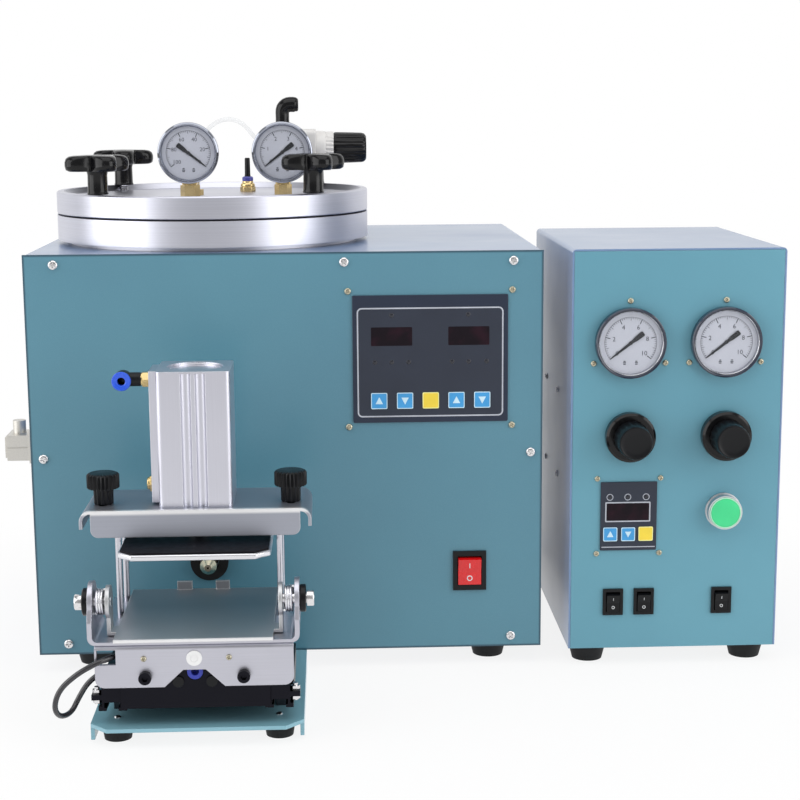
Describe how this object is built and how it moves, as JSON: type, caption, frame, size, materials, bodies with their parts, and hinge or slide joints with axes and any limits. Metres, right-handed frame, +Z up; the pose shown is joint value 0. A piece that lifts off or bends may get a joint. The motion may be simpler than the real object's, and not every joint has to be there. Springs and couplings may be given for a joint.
{
  "type": "jewelry wax injector",
  "caption": "Benchtop injector with a heated wax pot under a bolted vacuum lid, a spring nozzle, a sliding mould clamp with a press, and a separate control cabinet.",
  "frame": {"origin": "middle of the footprint, on the bench", "axes": "+X to the right as the operator sees the front, +Y to the back, +Z up"},
  "size_m": [0.6596, 0.5131, 0.4853],
  "materials": {
    "teal_paint": "satin baked paint",
    "cover_paint": "pale satin baked paint",
    "black_rubber": "dull moulded rubber",
    "gasket_rubber": "silicone rubber",
    "bright_screws": "bright plated",
    "dark_overlay": "printed polyester overlay",
    "red_plastic": "glossy moulded, lit from inside when on",
    "black_plastic": "satin moulded",
    "turned_aluminium": "turned and lightly polished",
    "brass": "turned",
    "heater_band": "rolled strip",
    "bright_chrome": "polished",
    "needle_black": "painted",
    "clear_hose": "clear soft tube",
    "valve_metal": "cast and machined",
    "circuit_green": "lacquered board",
    "silver_ring": "satin plated",
    "green_plastic": "glossy moulded",
    "rail_steel": "ground",
    "block_black": "black anodised",
    "bent_sheet": "satin bent sheet",
    "post_steel": "ground",
    "spring_steel": "oiled wire",
    "black_cord": "soft black sheath"
  },
  "bodies": {
    "cabinets": {"front_panel": "teal_paint", "wrap_cover": "cover_paint", "rear_chassis": "cover_paint", "controller_chassis": "teal_paint", "controller_cover": "cover_paint", "rubber_feet": "black_rubber", "panel_screws": "bright_screws", "membrane_panels": "dark_overlay", "switch_frames": "black_plastic", "nozzle_block": "turned_aluminium", "nozzle_bumper": "black_rubber", "wax_pot": "turned_aluminium", "pot_heater": "heater_band", "lid_gasket": "gasket_rubber", "panel_gauges": "bright_chrome", "air_valves": "valve_metal", "control_boards": "circuit_green", "cable_connectors": "black_plastic", "regulator_bodies": "black_plastic", "button_bezel": "silver_ring", "clamp_base_plate": "teal_paint", "slide_rails": "rail_steel"},
    "lid": {"lid_plate": "turned_aluminium", "lid_gauges": "bright_chrome", "lid_fittings": "brass", "lid_regulator": "black_plastic", "lid_air_hose": "clear_hose"},
    "left_front_star": {"left_front_star_knob": "black_plastic"},
    "right_front_star": {"right_front_star_knob": "black_plastic"},
    "left_rear_star": {"left_rear_star_knob": "black_plastic"},
    "right_rear_star": {"right_rear_star_knob": "black_plastic"},
    "lid_regulator_turn": {"lid_regulator_knob": "black_plastic"},
    "vacuum_hand": {"vacuum_needle": "needle_black"},
    "pressure_hand": {"pressure_needle": "needle_black"},
    "forward_hand": {"forward_needle": "needle_black"},
    "clamp_hand": {"clamp_needle": "needle_black"},
    "nozzle": {"nozzle_tip": "brass"},
    "carriage": {"carriage_block": "block_black", "carriage_frame": "bent_sheet", "guide_posts": "post_steel", "carriage_screws": "bright_screws", "carriage_fitting": "brass", "pivot_screws": "bright_screws", "pivot_springs": "spring_steel", "clamp_cord": "black_cord"},
    "table": {"platform": "bent_sheet"},
    "tray": {"upper_tray": "bent_sheet", "press_cylinder": "turned_aluminium", "cylinder_fittings": "black_plastic"},
    "press": {"press_rod": "bright_chrome", "press_plate": "bent_sheet"},
    "left_thumb": {"left_thumb_knob": "black_plastic"},
    "right_thumb": {"right_thumb_knob": "black_plastic"},
    "forward_turn": {"forward_knob": "black_plastic"},
    "clamp_turn": {"clamp_knob": "black_plastic"},
    "button": {"green_button": "green_plastic"},
    "mains_key": {"mains_rocker": "red_plastic"},
    "forward_key": {"forward_rocker": "black_plastic"},
    "clamp_key": {"clamp_rocker": "black_plastic"},
    "power_key": {"power_rocker": "black_plastic"}
  },
  "joints": [
    {"name": "lid_lift", "type": "slide", "parent": "cabinets", "child": "lid", "axis": [0, 0, 1], "range_m": [0, 0.06]},
    {"name": "left_front_star_turn", "type": "hinge", "parent": "lid", "child": "left_front_star", "pos_m": [-0.24502, -0.01822, 0.412], "axis": [0, 0, 1], "range_deg": [0, 720]},
    {"name": "left_rear_star_turn", "type": "hinge", "parent": "lid", "child": "left_rear_star", "pos_m": [-0.24502, 0.16422, 0.412], "axis": [0, 0, 1], "range_deg": [0, 720]},
    {"name": "right_front_star_turn", "type": "hinge", "parent": "lid", "child": "right_front_star", "pos_m": [-0.06258, -0.01822, 0.412], "axis": [0, 0, 1], "range_deg": [0, 720]},
    {"name": "right_rear_star_turn", "type": "hinge", "parent": "lid", "child": "right_rear_star", "pos_m": [-0.06258, 0.16422, 0.412], "axis": [0, 0, 1], "range_deg": [0, 720]},
    {"name": "lid_regulator_turn", "type": "hinge", "parent": "lid", "child": "lid_regulator_turn", "pos_m": [-0.04, 0.056, 0.4403], "axis": [1, 0, 0], "range_deg": [-180, 180]},
    {"name": "vacuum_hand_turn", "type": "hinge", "parent": "lid", "child": "vacuum_hand", "pos_m": [-0.1708, 0.0156, 0.4375], "axis": [0, 1, 0], "range_deg": [-256, 0], "stiffness_Nm_per_rad": 0.0001},
    {"name": "pressure_hand_turn", "type": "hinge", "parent": "lid", "child": "pressure_hand", "pos_m": [-0.0895, 0.0156, 0.4375], "axis": [0, 1, 0], "range_deg": [0, 256], "stiffness_Nm_per_rad": 0.0001},
    {"name": "forward_hand_turn", "type": "hinge", "parent": "cabinets", "child": "forward_hand", "pos_m": [0.1996, -0.087, 0.281], "axis": [0, 1, 0], "range_deg": [0, 256], "stiffness_Nm_per_rad": 0.0001},
    {"name": "clamp_hand_turn", "type": "hinge", "parent": "cabinets", "child": "clamp_hand", "pos_m": [0.28, -0.087, 0.281], "axis": [0, 1, 0], "range_deg": [0, 256], "stiffness_Nm_per_rad": 0.0001},
    {"name": "nozzle_press", "type": "slide", "parent": "cabinets", "child": "nozzle", "axis": [0, 1, 0], "range_m": [0, 0.004], "stiffness_N_per_m": 1500, "springref_m": -0.002},
    {"name": "carriage_advance", "type": "slide", "parent": "cabinets", "child": "carriage", "axis": [0, 1, 0], "range_m": [0, 0.024]},
    {"name": "platform_tilt", "type": "hinge", "parent": "carriage", "child": "table", "pos_m": [-0.1548, -0.23, 0.11], "axis": [1, 0, 0], "range_deg": [-1.2, 1.5], "stiffness_Nm_per_rad": 80},
    {"name": "tray_adjust", "type": "slide", "parent": "carriage", "child": "tray", "axis": [0, 1, 0], "range_m": [-0.006, 0.006]},
    {"name": "press_down", "type": "slide", "parent": "tray", "child": "press", "axis": [0, 0, -1], "range_m": [0, 0.04], "stiffness_N_per_m": 350, "springref_m": -0.03},
    {"name": "left_thumb_turn", "type": "hinge", "parent": "carriage", "child": "left_thumb", "pos_m": [-0.2273, -0.18, 0.18], "axis": [0, 0, 1], "range_deg": [0, 360]},
    {"name": "right_thumb_turn", "type": "hinge", "parent": "carriage", "child": "right_thumb", "pos_m": [-0.0823, -0.18, 0.18], "axis": [0, 0, 1], "range_deg": [0, 360]},
    {"name": "forward_knob_turn", "type": "hinge", "parent": "cabinets", "child": "forward_turn", "pos_m": [0.2006, -0.1, 0.2013], "axis": [0, 1, 0], "range_deg": [-180, 180]},
    {"name": "clamp_knob_turn", "type": "hinge", "parent": "cabinets", "child": "clamp_turn", "pos_m": [0.2818, -0.1, 0.2013], "axis": [0, 1, 0], "range_deg": [-180, 180]},
    {"name": "green_button_press", "type": "slide", "parent": "cabinets", "child": "button", "axis": [0, 1, 0], "range_m": [0, 0.0035], "stiffness_N_per_m": 300, "springref_m": -0.001},
    {"name": "mains_key_rock", "type": "hinge", "parent": "cabinets", "child": "mains_key", "pos_m": [0.0665, -0.069, 0.0843], "axis": [-1, 0, 0], "range_deg": [0, 14]},
    {"name": "forward_key_rock", "type": "hinge", "parent": "cabinets", "child": "forward_key", "pos_m": [0.1886, -0.0797, 0.0572], "axis": [-1, 0, 0], "range_deg": [0, 14]},
    {"name": "clamp_key_rock", "type": "hinge", "parent": "cabinets", "child": "clamp_key", "pos_m": [0.2151, -0.0797, 0.0572], "axis": [-1, 0, 0], "range_deg": [0, 14]},
    {"name": "power_key_rock", "type": "hinge", "parent": "cabinets", "child": "power_key", "pos_m": [0.282, -0.0797, 0.0572], "axis": [-1, 0, 0], "range_deg": [0, 14]}
  ]
}
